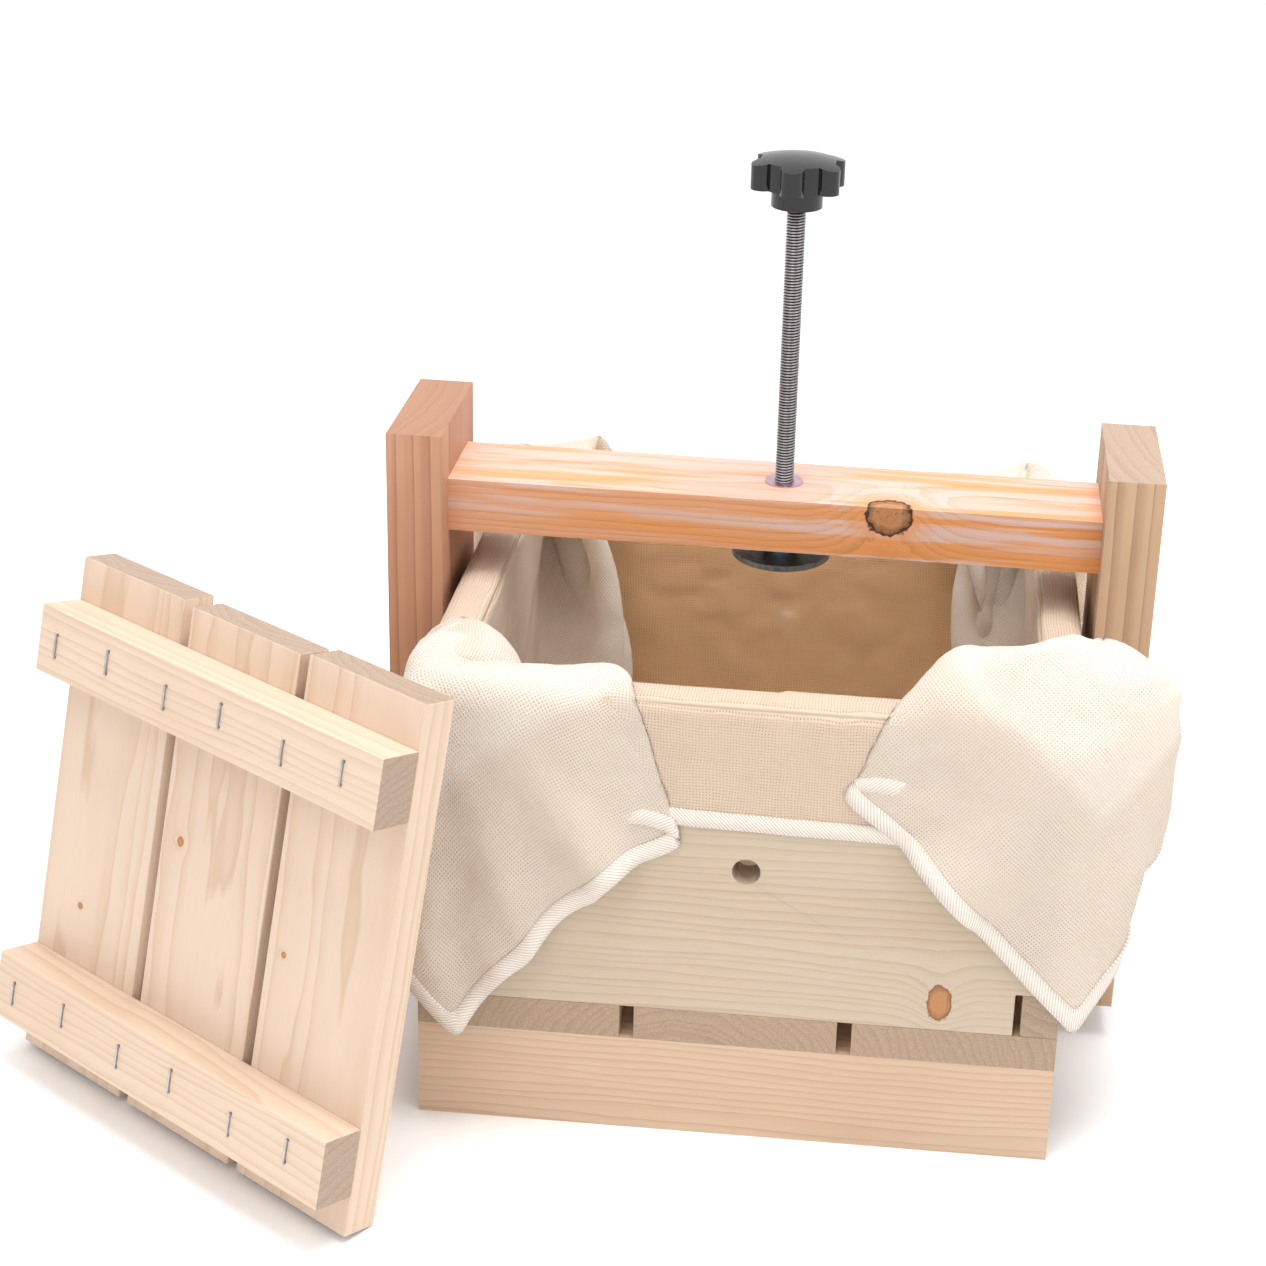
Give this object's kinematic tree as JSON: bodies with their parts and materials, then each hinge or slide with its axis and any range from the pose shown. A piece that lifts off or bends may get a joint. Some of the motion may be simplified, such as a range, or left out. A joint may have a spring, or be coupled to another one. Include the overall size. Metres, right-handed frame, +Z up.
{
  "type": "cheese press",
  "caption": "Wooden cheese press: slatted base, loose finger-jointed box with cheesecloth, hand screw in a crossbar, and a separate pressing board.",
  "frame": {"origin": "middle of the base's centre rail on the surface that the press stands on", "axes": "+X to the right across the press, along the crossbar; +Y to the back; +Z up, along the hand screw"},
  "size_m": [0.4886, 0.3515, 0.381],
  "materials": {
    "foot_pine": "planed, unfinished",
    "slat_pine": "planed, unfinished",
    "box_pine": "planed, unfinished",
    "red_pine": "planed, unfinished",
    "tan_pine": "planed, unfinished",
    "crossbar_pine": "planed, unfinished",
    "lid_pine": "planed, unfinished",
    "gauze": "plain-weave cotton",
    "black_plastic": "glossy",
    "passivated_zinc": "satin",
    "foot_steel": "satin",
    "rod_steel": "satin",
    "staple_steel": "bright",
    "zinc_steel": "bright zinc"
  },
  "bodies": {
    "press_frame": {"barrel_nut_left": "zinc_steel", "barrel_nut_right": "zinc_steel", "base_brads": "zinc_steel", "base_centre_rail": "foot_pine", "base_foot_front": "foot_pine", "base_foot_rear": "foot_pine", "base_slat_left": "slat_pine", "base_slat_middle": "slat_pine", "base_slat_right": "slat_pine", "crossbar": "crossbar_pine", "crossbar_screws": "zinc_steel", "frame_bolt_left": "zinc_steel", "frame_bolt_right": "zinc_steel", "frame_washer_left": "zinc_steel", "frame_washer_right": "zinc_steel", "threaded_insert": "passivated_zinc", "upright_left": "red_pine", "upright_right": "tan_pine"},
    "box": {"box_board_back": "box_pine", "box_board_front": "box_pine", "box_board_left": "box_pine", "box_board_right": "box_pine", "cheesecloth_ear_back_left": "gauze", "cheesecloth_ear_back_right": "gauze", "cheesecloth_ear_front_left": "gauze", "cheesecloth_ear_front_right": "gauze", "cheesecloth_hem": "gauze", "cheesecloth_liner": "gauze"},
    "press_foot": {"press_foot_disc": "foot_steel", "press_foot_hub": "foot_steel"},
    "hand_screw": {"screw_rod": "rod_steel", "knob": "black_plastic", "knob_bush": "zinc_steel"},
    "pressing_board": {"lid_batten_lower": "lid_pine", "lid_batten_upper": "lid_pine", "lid_slat_left": "lid_pine", "lid_slat_middle": "lid_pine", "lid_slat_right": "lid_pine", "lid_staples_lower": "staple_steel", "lid_staples_upper": "staple_steel"}
  },
  "joints": [
    {"name": "screw_travel", "type": "slide", "parent": "press_frame", "child": "press_foot", "axis": [0, 0, 1], "range_m": [-0.1125, 0.0025]},
    {"name": "screw_turn", "type": "hinge", "parent": "press_foot", "child": "hand_screw", "pos_m": [0.003, 0, 0.24], "axis": [0, 0, 1], "range_deg": [-32400, 720]},
    {"name": "box_lift", "type": "slide", "parent": "press_frame", "child": "box", "axis": [0, 0, 1], "range_m": [0, 0.015]},
    {"name": "board_away", "type": "slide", "parent": "press_frame", "child": "pressing_board", "axis": [-0.5505, -0.8348, 0], "range_m": [0, 0.15]}
  ],
  "couplings": [
    {"joint": "screw_turn", "follows": "screw_travel", "rad_per_m": 5026.5}
  ]
}
